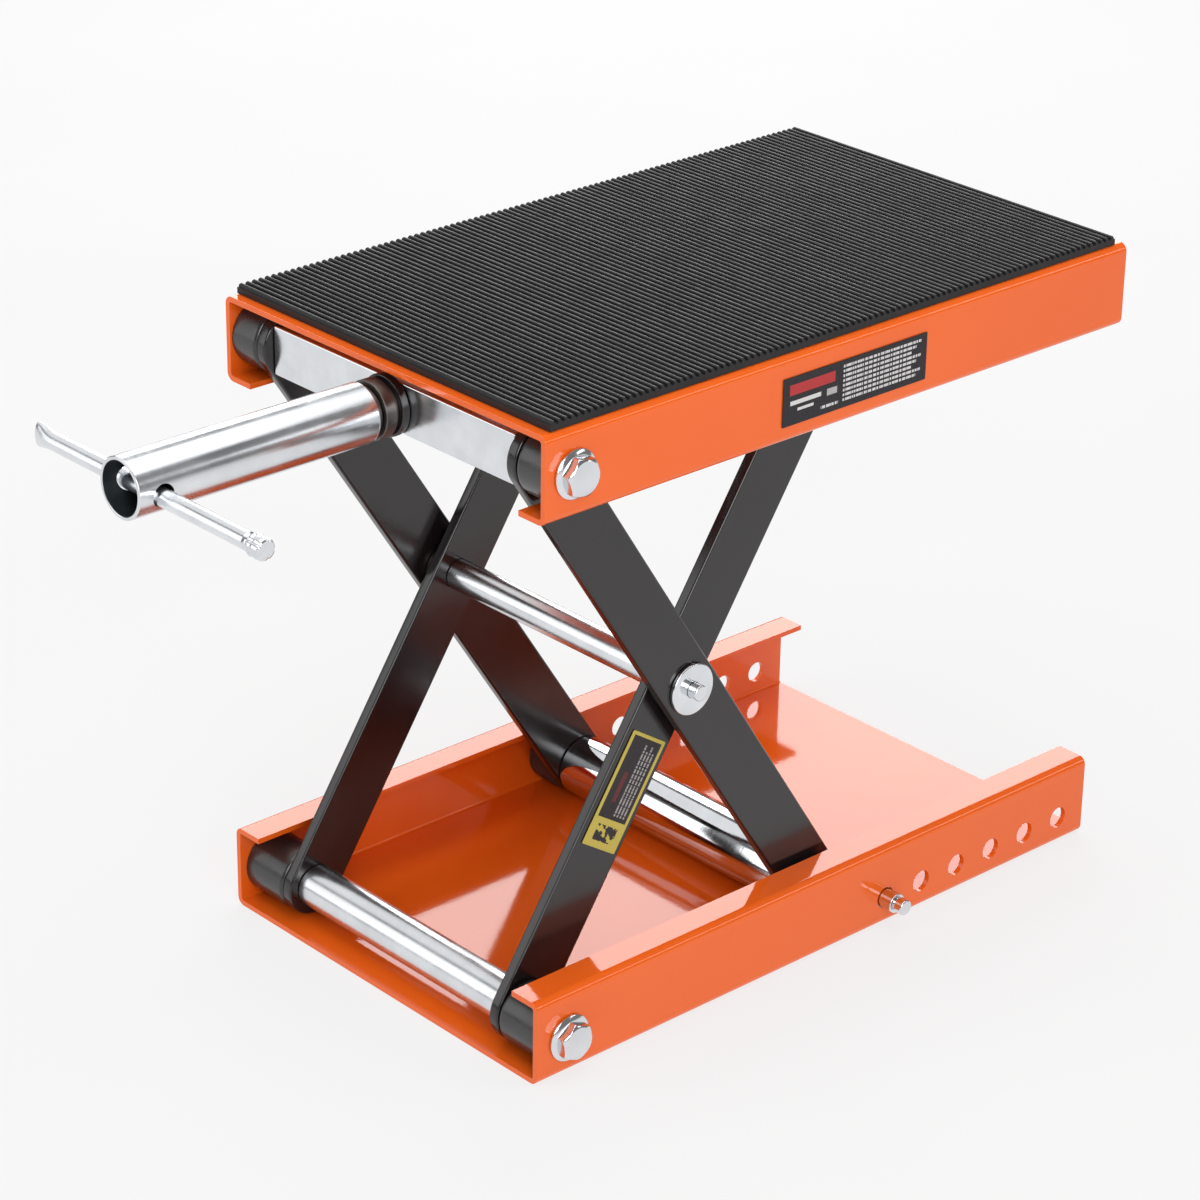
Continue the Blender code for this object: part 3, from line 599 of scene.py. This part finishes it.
def make_mat():
    """A mat with round-topped ribs that run along X over a solid backing."""
    pitch, rib_height, rib_foot = 0.004, 0.0019, 0.0024
    crown, half_crown, arc_steps = 0.0007, 0.00095, 5
    low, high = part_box("rubber_mat")
    count = int((high[1] - low[1]) / pitch)
    margin = (high[1] - low[1] - count * pitch) / 2
    valley = high[2] - rib_height
    profile = [(low[1], low[2]), (low[1], valley)]
    for rib in range(count):
        centre = low[1] + margin + (rib + 0.5) * pitch
        profile.append((centre - rib_foot / 2, valley))
        for step in range(arc_steps):
            angle = math.pi * (0.86 - 0.72 * step / (arc_steps - 1))
            y = centre + half_crown * math.cos(angle)
            z = high[2] - crown + crown * math.sin(angle)
            profile.append((y, z))
        profile.append((centre + rib_foot / 2, valley))
    profile += [(high[1], valley), (high[1], low[2])]
    bm = bmesh.new()
    edge = 0.0006
    columns = []
    for x, shrink in ((low[0], edge), (low[0] + edge, 0), (high[0] - edge, 0), (high[0], edge)):
        column = []
        for y, z in profile:
            drop = shrink * 0.8 if z > valley + 1e-6 else 0
            column.append(bm.verts.new((x, y, z - drop)))
        columns.append(column)
    for one, other in zip(columns, columns[1:]):
        for k in range(len(profile)):
            after = (k + 1) % len(profile)
            bm.faces.new((one[k], one[after], other[after], other[k]))
    bm.faces.new(columns[0])
    bm.faces.new(columns[-1])
    add_piece("rubber_mat", mesh_from("rubber_mat", bm))


# ---------------------------------------------------------------- arms, shafts and rollers

def arm_line(kind):
    """The middle of an arm and its run from front pivot to rear, both as (y, z), and its tilt."""
    front, rear = (middle(node).yz for node in ARM_ENDS[kind])
    run = rear - front
    return (front + rear) / 2, run, math.atan2(run.y, run.x)


def arm_mesh(name, span, width, thickness, steps=20):
    """A flat bar with round ends and three bores, standing in the plane of Y and Z."""
    outline = []
    for centre, start in ((span / 2, -90), (-span / 2, 90)):
        for step in range(steps + 1):
            angle = math.radians(start + 180 * step / steps)
            outline.append((centre + width / 2 * math.cos(angle), width / 2 * math.sin(angle)))
    bm = bmesh.new()
    bottom = bm.faces.new([bm.verts.new((-thickness / 2, y, z)) for y, z in outline])
    raised = bmesh.ops.extrude_face_region(bm, geom=[bottom])["geom"]
    top = [thing for thing in raised if isinstance(thing, bmesh.types.BMVert)]
    bmesh.ops.translate(bm, vec=(thickness, 0, 0), verts=top)
    mesh = eased(mesh_from(name, bm), 0.0013, 3, 60)
    bores = [(-span / 2, 0), (0, 0), (span / 2, 0)]
    return drilled(mesh, "X", bores, BORE_RADIUS, -thickness, thickness)


def make_arms():
    for kind in ARM_ENDS:
        centre, run, tilt = arm_line(kind)
        for side in SIDES:
            node = f"{kind}_{side}"
            span = size(node)
            mesh = arm_mesh(node, run.length, span.z - abs(run.y), span.x)
            mesh.transform(Matrix.Rotation(tilt, 4, "X"))
            add_piece(node, mesh, matrix=Matrix.Translation((middle(node).x, *centre)))


def shaft_mesh(name, shoulder, radius, end, stud=None):
    """A shaft with a journal at each end, and beyond it a thinner stud if there is one."""
    edge = 0.0003
    half = [(shoulder - edge, radius), (shoulder, radius - edge), (shoulder, PIN_RADIUS)]
    if stud is None:
        half += round_corner(end, PIN_RADIUS, 0.0006, 1)
        tip = end
    else:
        tip, stud_radius = stud
        half += [(end - edge, PIN_RADIUS), (end, PIN_RADIUS - edge), (end, stud_radius)]
        half += round_corner(tip, stud_radius, 0.0008, 1)
    half.append((tip, 0))
    return lathe(name, [(-x, reach) for x, reach in reversed(half)] + half)


def make_shafts():
    node = "centre_rod"
    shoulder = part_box("inner_arm_right")[0][0] - GAP
    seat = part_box("centre_washer_right")[1][0] - WASHER_LIP - 0.0002
    span = size(node)
    mesh = shaft_mesh(node, shoulder, span.z / 2, seat, (span.x / 2, STUD_RADIUS))
    add_piece(node, mesh, DRAWN_ZINC, at(node))

    node = "lower_shaft"
    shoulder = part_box("outer_arm_right")[0][0] - GAP
    span = size(node)
    mesh = shaft_mesh(node, shoulder, span.z / 2, span.x / 2)
    add_piece(node, mesh, DRAWN_ZINC, at(node))

    bore = size("lower_tube_bush_right").z / 2 + GAP
    ring_about_x("lower_tube", bore, 0.0006, POLISHED_ZINC)

    node = "nut_shaft"
    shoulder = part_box("inner_arm_right")[0][0] - GAP
    span = size(node)
    mesh = shaft_mesh(node, shoulder, span.z / 2, span.x / 2)
    mesh = drilled(mesh, "Y", [(0, 0)], SCREW_BORE, -span.z, span.z)
    add_piece(node, mesh, matrix=at(node))

    ring_about_x("base_pivot_tube", BORE_RADIUS, 0.0005, DRAWN_ZINC)


def roller_mesh(name, width, radius):
    """A roller with a turned recess in each face."""
    half, dish, fillet = width / 2, 0.0012, 0.0018
    hub, rim = BORE_RADIUS + 0.0035, radius - 0.0035
    profile = [(-half, BORE_RADIUS), (-half, hub), (-half + dish, hub + dish)]
    profile += [(-half + dish, rim - dish), (-half, rim)] + round_corner(-half, radius, fillet, -1)
    profile += round_corner(half, radius, fillet, 1) + [(half, rim), (half - dish, rim - dish)]
    profile += [(half - dish, hub + dish), (half, hub), (half, BORE_RADIUS)]
    return lathe(name, profile)


def sleeve_mesh(name, width, radius):
    """A sleeve that is square against the channel's wall and rounded next to the arm."""
    half, arm_side, wall_side = width / 2, 0.0028, 0.0004
    profile = [(-half, BORE_RADIUS)] + round_corner(-half, radius, arm_side, -1)
    profile += round_corner(half, radius, wall_side, 1) + [(half, BORE_RADIUS)]
    return lathe(name, profile)


def washer_mesh(name, width, radius):
    """A washer over the journal's end, with a thin outer lip that closes down to the stud."""
    half, arm_side, outside = width / 2, 0.0004, 0.0007
    mouth, step = STUD_RADIUS + GAP, half - WASHER_LIP
    profile = [(-half, BORE_RADIUS)] + round_corner(-half, radius, arm_side, -1)
    profile += round_corner(half, radius, outside, 1)
    profile += [(half, mouth), (step, mouth), (step, BORE_RADIUS)]
    return lathe(name, profile)


def add_shaped(node, shape, material=None, turn=Matrix()):
    """A piece turned about X, from the function that shapes it, in its packed place and size."""
    mesh = shape(node, size(node).x, size(node).z / 2)
    add_piece(node, mesh, material, at(node) @ turn)


def make_round_pieces():
    for side, angle in (("left", math.pi), ("right", 0)):
        turn = Matrix.Rotation(angle, 4, "Z")
        for kind in ("base_sleeve", "platform_sleeve"):
            add_shaped(f"{kind}_{side}", sleeve_mesh, BLACK_SLEEVE, turn)
        ring_about_x(f"lower_tube_bush_{side}", size("lower_shaft").z / 2 + GAP, 0.0008)
        ring_about_x(f"centre_spacer_{side}", BORE_RADIUS, 0.0005)
        ring_about_x(f"upper_spacer_{side}", BORE_RADIUS, 0.0005)
        add_shaped(f"centre_washer_{side}", washer_mesh, POLISHED_ZINC, turn)
        for kind in ("lower_roller", "upper_roller"):
            add_shaped(f"{kind}_{side}", roller_mesh)


# ---------------------------------------------------------------- bolts

def hexagon(angle, apothem):
    sector = math.pi / 3
    return apothem / math.cos((angle + sector / 2) % sector - sector / 2)


def bolt_mesh(name, end, seat, top, flange_radius):
    """A flanged hexagon bolt: a cone-topped flange and a head with a turned chamfer."""
    half = HEX_ACROSS_FLATS / 2
    corner = half / math.cos(math.pi / 6)
    rim, cone, foot = seat + 0.0012, seat + 0.0015, seat + 0.0026
    ease, lead = 0.0002, 0.001
    profile = [(end, 0), (end, PIN_RADIUS - lead), (end + lead, PIN_RADIUS), (seat, PIN_RADIUS)]
    profile += [(seat, flange_radius - ease), (seat + ease, flange_radius), (rim, flange_radius)]
    profile += [(cone, flange_radius - 0.0003), (foot, corner - 0.0001)]

    def chamfered(limit):
        return lambda angle, apothem: min(hexagon(angle, apothem), limit)

    profile.append((foot, half, chamfered(corner - 0.0001)))
    chamfer, rows = 0.0017, 7
    for row in range(rows):
        share = row / (rows - 1)
        x = top - chamfer + chamfer * share
        limit = corner - (corner - half + 0.0006) * share ** 1.5
        profile.append((x, half, chamfered(limit)))
    face, recess = half - 0.0014, 0.0004
    profile += [(top - 0.00005, face), (top - recess, face - 0.0012), (top - recess, 0)]
    return lathe(name, profile, 144)


def make_bolts():
    """The four pivot bolts. Each head stands at its own angle, as after tightening."""
    kinds = (
        ("base_pivot_bolt", "base_channel", 0.0), ("platform_pivot_bolt", "platform_channel", 0.2)
    )
    for kind, wall, more in kinds:
        for side, turn, spin in (("left", math.pi, 0.35), ("right", 0, 0.12)):
            node = f"{kind}_{side}"
            low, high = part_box(node)
            centre = middle(node)
            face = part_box(wall)[1][0]
            reach = max(abs(low[0]), abs(high[0]))
            end = min(abs(low[0]), abs(high[0]))
            mesh = bolt_mesh(node, end, face + GAP, reach, size(node).z / 2)
            matrix = Matrix.Translation((0, centre.y, centre.z)) @ Matrix.Rotation(turn, 4, "Z")
            add_piece(node, mesh, matrix=matrix @ Matrix.Rotation(spin + more, 4, "X"))


# ---------------------------------------------------------------- screw, crank and crossbar

def make_crossbar():
    node = "front_crossbar"
    span = size(node)
    bm = bmesh.new()
    bmesh.ops.create_cube(bm, size=1)
    bmesh.ops.scale(bm, vec=span, verts=bm.verts)
    mesh = eased(mesh_from(node, bm), 0.0011, 3)
    mesh = drilled(mesh, "Y", [(0, 0)], SCREW_BORE, -span.y, span.y)
    room_at_tip = 0.0008
    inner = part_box("platform_pivot_bolt_right")[0][0] - room_at_tip
    mesh = drilled(mesh, "X", [(0, 0)], BORE_RADIUS, inner, span.x)
    mesh = drilled(mesh, "X", [(0, 0)], BORE_RADIUS, -span.x, -inner)
    add_piece(node, mesh, FLAT_ZINC, at(node))


def thread_mesh(name, start, end, radius):
    """A trapezoidal thread about X, run out to the root at both ends, closed by flat ends."""
    per_turn = 28
    root = radius - THREAD_DEPTH
    shape = ((0.0, root), (0.18, root), (0.36, radius), (0.66, radius), (0.84, root))
    turns = int((end - start) / THREAD_PITCH) - 1
    bm = bmesh.new()
    rings = []
    for step in range(turns * per_turn + 1):
        angle = 2 * math.pi * step / per_turn
        x = start + THREAD_PITCH * step / per_turn
        fade = min(1, step / per_turn, (turns * per_turn - step) / per_turn)
        row = []
        for share, reach in shape:
            reach = root + (reach - root) * fade
            place = (x + share * THREAD_PITCH, reach * math.cos(angle), reach * math.sin(angle))
            row.append(bm.verts.new(place))
        rings.append(row)
    last = len(shape) - 1
    for step in range(len(rings) - 1):
        here, there = rings[step], rings[step + 1]
        for k in range(last):
            bm.faces.new((here[k], here[k + 1], there[k + 1], there[k]))
        if step + per_turn + 1 < len(rings):
            above, over = rings[step + per_turn], rings[step + per_turn + 1]
            bm.faces.new((here[last], above[0], over[0], there[last]))
    return mesh_from(name, bm), root


def make_screw():
    node = "lead_screw"
    low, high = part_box(node)
    centre = middle(node)
    radius = size(node).z / 2
    run_out, slope, fillet = 0.002, 0.0006, 0.0012
    plain_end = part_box("screw_retaining_collar")[1][1] + run_out
    stop_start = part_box("screw_end_stop")[0][1] - run_out
    thread, root = thread_mesh(node + "_thread", plain_end, stop_start, radius)
    # The core lies just inside the thread's root, so the two never share a face
    inner = root - 0.0001
    profile = [(low[1], 0)] + round_corner(low[1], radius, fillet, -1)
    profile += [(plain_end - slope, radius), (plain_end, inner)]
    profile += [(stop_start, inner), (stop_start + slope, radius)]
    profile += round_corner(high[1], radius, fillet, 1) + [(high[1], 0)]
    core = lathe(node, profile, 64)
    bm = bmesh.new()
    bm.from_mesh(core)
    bm.from_mesh(thread)
    mesh = bpy.data.meshes.new(node)
    bm.to_mesh(mesh)
    bm.free()
    add_piece(node, mesh, matrix=along_y((0, 0, centre.z)))


def make_stack():
    ring_about_y("thrust_washer_rear", SCREW_BORE, 0.0008, FINISHES["black_powder_coat"])
    ring_about_y("thrust_washer_front", SCREW_BORE, 0.0006)
    ring_about_y("screw_retaining_collar", SCREW_BORE, 0.0008)
    ring_about_y("screw_end_stop", SCREW_BORE, 0.0008)
    node = "thrust_bearing"
    centre, span = middle(node), size(node)
    half, radius = span.y / 2, span.z / 2
    neck, width = BEARING_NECK
    shoulder, fillet = half - width, 0.0006
    profile = [(-half, SCREW_BORE)] + round_corner(-half, radius, fillet, -1)
    profile += round_corner(shoulder, radius, fillet, 1)
    profile += [(shoulder, neck), (half, neck), (half, SCREW_BORE)]
    add_piece(node, lathe(node, profile), matrix=along_y(centre))


def make_crank():
    node = "crank_tube"
    low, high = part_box(node)
    centre = middle(node)
    radius = size(node).z / 2
    inside = radius - CRANK_WALL
    front, rear = low[1], high[1]
    profile = [(front + 0.0003, inside), (front, inside + 0.0004)]
    profile += round_corner(front, radius, 0.0006, -1)
    profile += round_corner(rear, radius, 0.0014, 1)
    profile += [(rear, SCREW_BORE), (rear - CRANK_PLUG, SCREW_BORE), (rear - CRANK_PLUG, inside)]
    mesh = lathe(node, profile)
    tommy = middle("tommy_bar")
    mesh.transform(Matrix.Rotation(math.pi / 2, 4, "Z"))
    hole = (tommy.y, -TOMMY_HOLE_DROP)
    mesh = drilled(mesh, "X", [hole], TOMMY_HOLE_RADIUS, -2 * radius, 2 * radius)
    mesh.transform(Matrix.Rotation(-math.pi / 2, 4, "Z"))
    add_piece(node, mesh, crank_zinc_painted_bore_shade(inside), along_y((0, 0, centre.z)))


def make_tommy_bar():
    """A round bar with its left end hammered into an upright fan, and an upset head at the right."""
    node = "tommy_bar"
    low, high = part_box(node)
    centre, span = middle(node), size(node)
    left, right, bar = low[0], high[0], TOMMY_RADIUS
    tall, wide = span.z / 2, span.y / 2
    # Each section is a place along X, half the depth in Y and half the height in Z
    fan = [
        (left, 0.0016, tall - 0.0014), (left + 0.0003, 0.0024, tall - 0.0005),
        (left + 0.0012, 0.0030, tall), (left + 0.0035, 0.0034, tall - 0.0004),
        (left + 0.0062, 0.0039, tall - 0.0009), (left + 0.0090, 0.0043, tall - 0.0015),
        (left + 0.0118, bar - 0.0001, bar + 0.0001), (left + 0.0145, bar, bar),
    ]
    head = [
        (right - 0.0128, bar, bar), (right - 0.0121, 0.0040, 0.0040),
        (right - 0.0116, 0.0037, 0.0037), (right - 0.0102, 0.0037, 0.0037),
        (right - 0.0096, 0.0044, 0.0044), (right - 0.0090, wide - 0.0004, wide - 0.0004),
        (right - 0.0078, wide, wide), (right - 0.0066, wide - 0.0005, wide - 0.0004),
        (right - 0.0054, wide - 0.0004, wide - 0.0005), (right - 0.0038, wide, wide),
        (right - 0.0014, wide - 0.0002, wide - 0.0002), (right - 0.0004, wide - 0.0006, wide - 0.0006),
        (right, wide - 0.0014, wide - 0.0014),
    ]
    bm = bmesh.new()
    loops = []
    for x, depth, height in fan + head:
        # The hammered notches come in over the first millimetre of the head
        upset = max(0.0, min(1.0, (x - right + 0.0092) / 0.0010))
        loop = []
        for step in range(ROUND):
            angle = 2 * math.pi * step / ROUND
            notch = 1 - 0.10 * upset * max(0, math.cos(5 * angle + 0.6)) ** 3
            across, up = depth * notch * math.cos(angle), height * notch * math.sin(angle)
            loop.append(bm.verts.new((x, across, up)))
        loops.append(loop)
    for one, other in zip(loops, loops[1:]):
        for step in range(ROUND):
            after = (step + 1) % ROUND
            bm.faces.new((one[step], one[after], other[after], other[step]))
    for loop, x in ((loops[0], left), (loops[-1], right - 0.0006)):
        tip = bm.verts.new((x, 0, 0))
        for step in range(ROUND):
            bm.faces.new((loop[step], loop[(step + 1) % ROUND], tip))
    mesh = mesh_from(node, bm)
    add_piece(node, mesh, DRAWN_ZINC, Matrix.Translation((0, centre.y, centre.z)))


def make_lock_pin():
    node = "lock_pin"
    low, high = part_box(node)
    centre = middle(node)
    radius = size(node).z / 2
    shank = high[0] - LOCK_PIN_TIP[1] - LOCK_PIN_GROOVE[1]
    groove, groove_width = LOCK_PIN_GROOVE
    tip = shank + groove_width
    profile = [(low[0], 0)] + round_corner(low[0], radius, 0.0006, -1)
    profile += round_corner(shank, radius, 0.0005, 1) + [(shank, groove), (tip, groove)]
    profile += round_corner(tip, LOCK_PIN_TIP[0], 0.0004, -1)
    profile += round_corner(high[0], LOCK_PIN_TIP[0], 0.0009, 1) + [(high[0], 0)]
    add_piece(node, lathe(node, profile), POLISHED_ZINC, Matrix.Translation((0, centre.y, centre.z)))


# ---------------------------------------------------------------- plates

def plate_mesh(name, thickness, length, height, corner, steps=5):
    """A thin plate with round corners, standing in the plane of Y and Z."""
    outline = []
    for sign_y, sign_z, first in ((1, 1, 0), (-1, 1, 90), (-1, -1, 180), (1, -1, 270)):
        for step in range(steps + 1):
            angle = math.radians(first + 90 * step / steps)
            y = sign_y * (length / 2 - corner) + corner * math.cos(angle)
            z = sign_z * (height / 2 - corner) + corner * math.sin(angle)
            outline.append((y, z))
    bm = bmesh.new()
    back = bm.faces.new([bm.verts.new((-thickness / 2, y, z)) for y, z in outline])
    raised = bmesh.ops.extrude_face_region(bm, geom=[back])["geom"]
    top = [thing for thing in raised if isinstance(thing, bmesh.types.BMVert)]
    bmesh.ops.translate(bm, vec=(thickness, 0, 0), verts=top)
    return eased(mesh_from(name, bm), 0.00012, 2)


def make_plates():
    node = "deck_plate"
    span = size(node)
    mesh = plate_mesh(node, span.x, span.y, span.z, 0.0005)
    add_piece(node, mesh, deck_print(span.y, span.z), at(node))

    node = "arm_plate"
    span = size(node)
    tilt = arm_line("inner_arm")[2]
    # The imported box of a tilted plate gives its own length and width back
    cosine, sine = math.cos(tilt), math.sin(tilt)
    length = (span.y * cosine - span.z * sine) / (cosine ** 2 - sine ** 2)
    width = (span.z * cosine - span.y * sine) / (cosine ** 2 - sine ** 2)
    mesh = plate_mesh(node, span.x, length, width, 0.0008)
    matrix = at(node) @ Matrix.Rotation(tilt, 4, "X")
    add_piece(node, mesh, arm_print(length, width), matrix)


# ---------------------------------------------------------------- floor, light and camera

def make_floor():
    bm = bmesh.new()
    bmesh.ops.create_grid(bm, x_segments=1, y_segments=1, size=14)
    mesh = mesh_from("studio_floor", bm)
    floor = bpy.data.objects.new("studio_floor", mesh)
    bpy.context.collection.objects.link(floor)
    floor.location.z = -GAP
    m = Nodes("studio_floor")
    tone = m.spread(m.noise(3, 2), 0.0, 1.0)
    colour = m.mix(tone, (0.145, 0.145, 0.145), (0.155, 0.155, 0.155))
    m.finish(colour, 0.0, 0.85, Specular_IOR_Level=0.0, Emission_Strength=0.755)
    m.shader.inputs["Emission Color"].default_value = (1, 1, 1, 1)
    mesh.materials.append(m.material)


def area_light(name, place, aim, width, height, power):
    data = bpy.data.lights.new(name, "AREA")
    data.shape = "RECTANGLE"
    data.size = width
    data.size_y = height
    data.energy = power
    light = bpy.data.objects.new(name, data)
    bpy.context.collection.objects.link(light)
    light.location = place
    light.rotation_euler = (Vector(aim) - Vector(place)).to_track_quat("-Z", "Y").to_euler()


def make_light():
    """A dim white surround, and soft panels above, behind and beside the jack."""
    world = bpy.data.worlds.new("studio")
    bpy.context.scene.world = world
    world.use_nodes = True
    background = world.node_tree.nodes["Background"]
    background.inputs["Color"].default_value = (1.0, 1.0, 1.0, 1)
    background.inputs["Strength"].default_value = 0.20
    middle_of_jack = (0.0, 0.0, 0.17)
    base_floor = (0.0, 0.05, 0.05)
    # Each panel's name, place, aim, width, height and power in watts
    panels = (
        ("overhead", (0.1, 0.0, 2.1), middle_of_jack, 2.2, 2.2, 30),
        ("back_panel", (-1.47, 1.35, 1.03), base_floor, 1.5, 1.0, 21.5),
        ("right_panel", (1.9, -1.1, 1.1), middle_of_jack, 1.4, 1.4, 29),
        ("rear_right_panel", (1.40, 1.34, 0.98), middle_of_jack, 0.9, 0.22, 2.6),
        ("left_high_panel", (-1.34, -0.10, 1.48), middle_of_jack, 1.5, 1.4, 5),
        ("left_panel", (-0.9, -1.7, 0.8), middle_of_jack, 1.6, 1.2, 9),
    )
    for panel in panels:
        area_light(*panel)


def make_camera():
    """The view is down 25 degrees from the front right corner, with a long lens."""
    azimuth, elevation, roll = math.radians(47.49), math.radians(25.18), math.radians(-0.90)
    # The model's origin, in the camera's own axes
    offset = Vector((0.03674, -0.14435, -2.0822))
    ca, sa = math.cos(azimuth), math.sin(azimuth)
    ce, se = math.cos(elevation), math.sin(elevation)
    right = Vector((ca, sa, 0))
    back = Vector((sa * ce, -ca * ce, se))
    up = back.cross(right)
    c, s = math.cos(roll), math.sin(roll)
    rows = (c * right - s * up, s * right + c * up, back)
    rotation = Matrix(rows).transposed()
    data = bpy.data.cameras.new("camera")
    data.sensor_width = 36
    data.lens = 115.2
    camera = bpy.data.objects.new("camera", data)
    bpy.context.collection.objects.link(camera)
    camera.matrix_world = Matrix.Translation(-(rotation @ offset)) @ rotation.to_4x4()
    bpy.context.scene.camera = camera


make_camera()
make_base()
make_deck()
make_mat()
make_arms()
make_shafts()
make_round_pieces()
make_bolts()
make_crossbar()
make_screw()
make_stack()
make_crank()
make_tommy_bar()
make_lock_pin()
make_plates()
make_floor()
make_light()
bpy.context.scene.view_settings.view_transform = "Standard"
